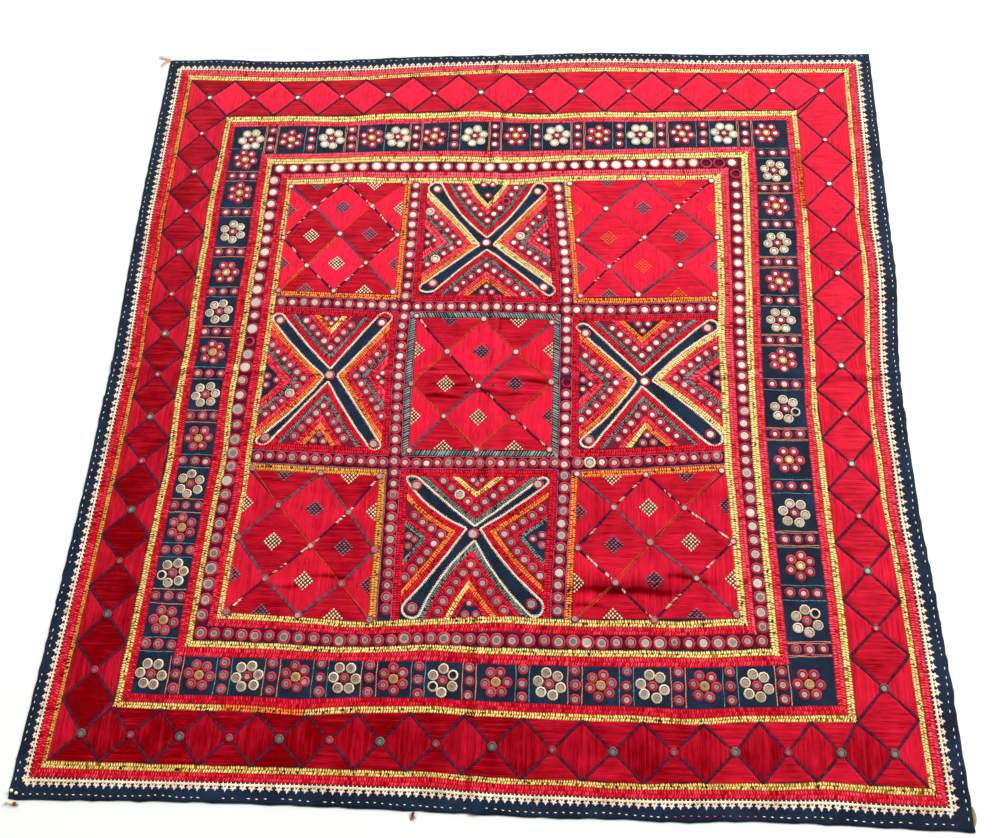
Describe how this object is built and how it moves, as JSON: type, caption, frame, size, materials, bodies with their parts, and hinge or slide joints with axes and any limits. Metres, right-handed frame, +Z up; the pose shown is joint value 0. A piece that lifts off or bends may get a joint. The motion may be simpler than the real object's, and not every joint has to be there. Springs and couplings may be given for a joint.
{
  "type": "embroidered mirror-work wall hanging",
  "caption": "Square cotton wall hanging covered in silk embroidery and small round mirrors, shown laid flat, face up.",
  "frame": {"origin": "centre of the part's box on the surface it lies on", "axes": "+Z up out of the embroidered face, +Y towards the back edge, +X towards the right edge"},
  "size_m": [1.0684, 1.0862, 0.0048],
  "materials": {
    "navy_cotton": "plain-woven cotton, matt",
    "mirror_glass": "old thin mirror glass, dulled",
    "crimson_silk": "satin-stitched silk floss, glossy along the thread",
    "rose_silk": "slanted stitches of silk floss",
    "yellow_silk": "slanted stitches of silk floss",
    "orange_silk": "slanted stitches of silk floss",
    "teal_silk": "slanted stitches of silk floss",
    "plum_thread": "couched thread",
    "cream_thread": "cotton thread",
    "pink_thread": "loose cotton thread",
    "rust_thread": "loose thread",
    "khaki_lining": "frayed cotton"
  },
  "bodies": {
    "root": {"ground_cloth": "navy_cotton", "mirror_back_01": "mirror_glass", "mirror_back_02": "mirror_glass", "mirror_back_03": "mirror_glass", "mirror_back_04": "mirror_glass", "mirror_back_05": "mirror_glass", "mirror_back_06": "mirror_glass", "mirror_back_07": "mirror_glass", "mirror_back_08": "mirror_glass", "mirror_back_09": "mirror_glass", "mirror_back_10": "mirror_glass", "mirror_back_11": "mirror_glass", "mirror_back_12": "mirror_glass", "mirror_back_13": "mirror_glass", "mirror_back_14": "mirror_glass", "mirror_right_02": "mirror_glass", "mirror_right_03": "mirror_glass", "mirror_right_04": "mirror_glass", "mirror_right_05": "mirror_glass", "mirror_right_06": "mirror_glass", "mirror_right_07": "mirror_glass", "mirror_right_08": "mirror_glass", "mirror_right_09": "mirror_glass", "mirror_right_10": "mirror_glass", "mirror_right_11": "mirror_glass", "mirror_right_12": "mirror_glass", "mirror_right_13": "mirror_glass", "mirror_front_01": "mirror_glass", "mirror_front_02": "mirror_glass", "mirror_front_03": "mirror_glass", "mirror_front_04": "mirror_glass", "mirror_front_05": "mirror_glass", "mirror_front_06": "mirror_glass", "mirror_front_07": "mirror_glass", "mirror_front_08": "mirror_glass", "mirror_front_09": "mirror_glass", "mirror_front_10": "mirror_glass", "mirror_front_11": "mirror_glass", "mirror_front_12": "mirror_glass", "mirror_front_13": "mirror_glass", "mirror_front_14": "mirror_glass", "mirror_front_15": "mirror_glass", "mirror_front_16": "mirror_glass", "mirror_left_02": "mirror_glass", "mirror_left_03": "mirror_glass", "mirror_left_04": "mirror_glass", "mirror_left_05": "mirror_glass", "mirror_left_06": "mirror_glass", "mirror_left_07": "mirror_glass", "mirror_left_08": "mirror_glass", "mirror_left_09": "mirror_glass", "mirror_left_10": "mirror_glass", "mirror_left_11": "mirror_glass", "mirror_left_12": "mirror_glass", "mirror_left_13": "mirror_glass", "mirror_left_14": "mirror_glass", "thread_tuft_back_left": "pink_thread", "thread_tuft_front": "rust_thread", "corner_knots_front_left": "cream_thread", "lining_sliver": "khaki_lining"}
  },
  "joints": []
}
